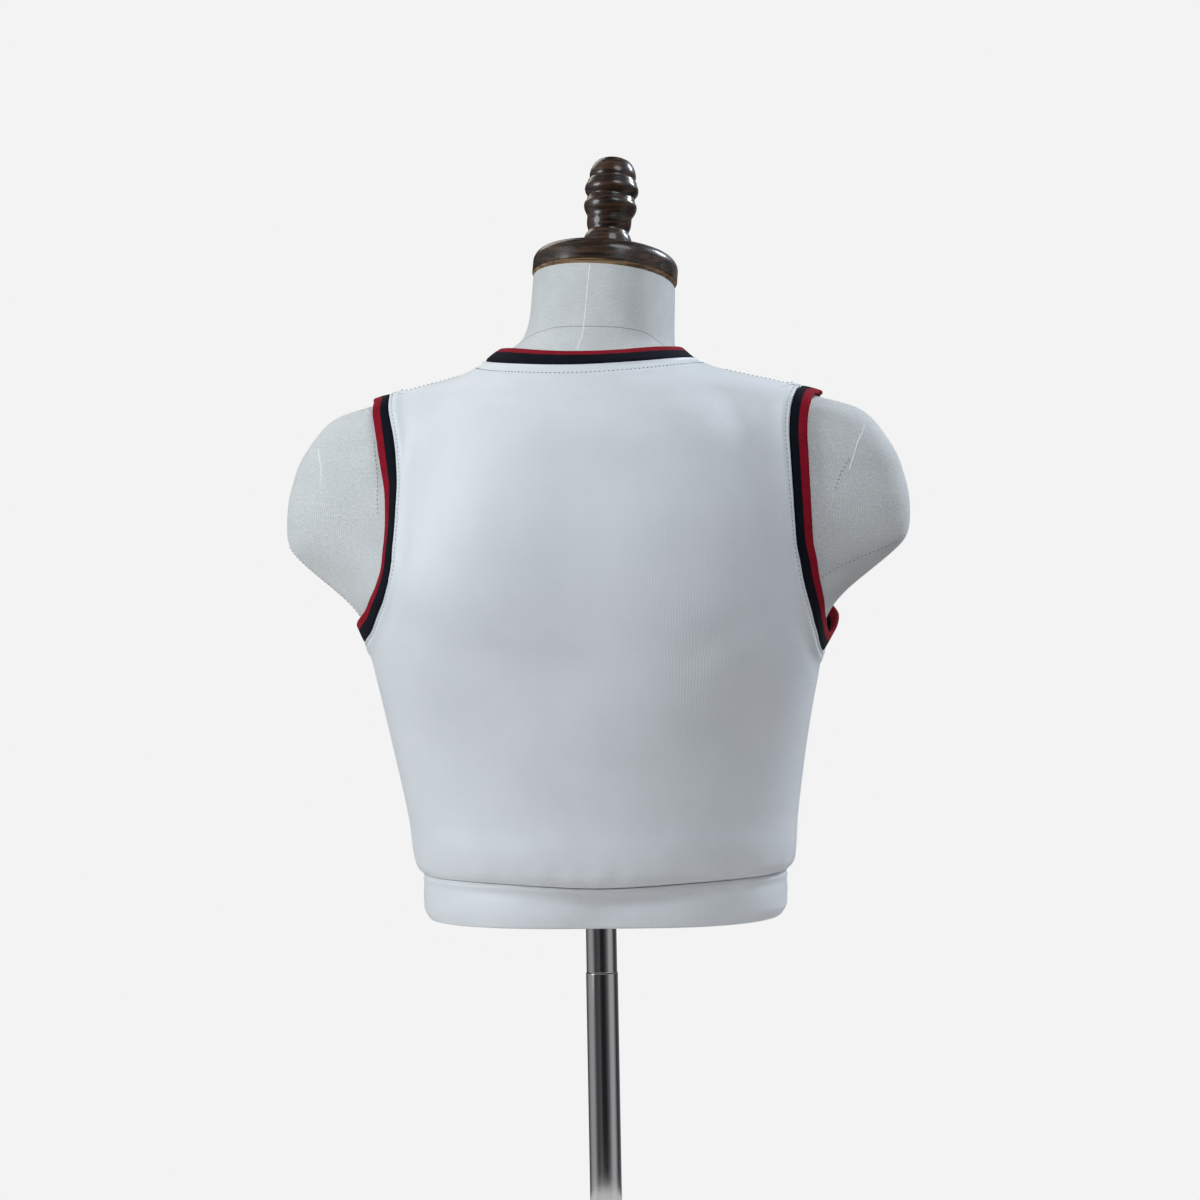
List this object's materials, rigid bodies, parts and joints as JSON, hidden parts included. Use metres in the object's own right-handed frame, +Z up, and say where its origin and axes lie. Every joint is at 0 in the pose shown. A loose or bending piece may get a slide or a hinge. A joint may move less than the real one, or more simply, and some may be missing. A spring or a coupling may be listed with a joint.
{
  "type": "crop tank top on a limbless dress form",
  "caption": "Sleeveless cropped knit top with striped rib trims at neck and armholes, worn by a padded linen bust form on a pole and round base.",
  "frame": {"origin": "centre of the round base's underside, on the pole's axis", "axes": "+Z up; the wearer's front faces -Y and the wearer's left is +X"},
  "size_m": [0.409, 0.28, 0.7756],
  "materials": {
    "white_knit": "smooth knit with a faint sheen",
    "striped_rib": "folded rib, one dark blue and one deep red stripe",
    "linen": "matt plain weave",
    "walnut": "polished dark wood",
    "chrome": "polished"
  },
  "bodies": {
    "root": {"back_panel": "white_knit", "front_panel": "white_knit", "hem_band": "white_knit", "neck_rib": "striped_rib", "armhole_rib_left": "striped_rib", "armhole_rib_right": "striped_rib", "form_body": "linen", "neck_cap": "walnut", "finial": "walnut", "pole_upper": "chrome", "pole_lower": "chrome", "base": "chrome"}
  },
  "joints": []
}
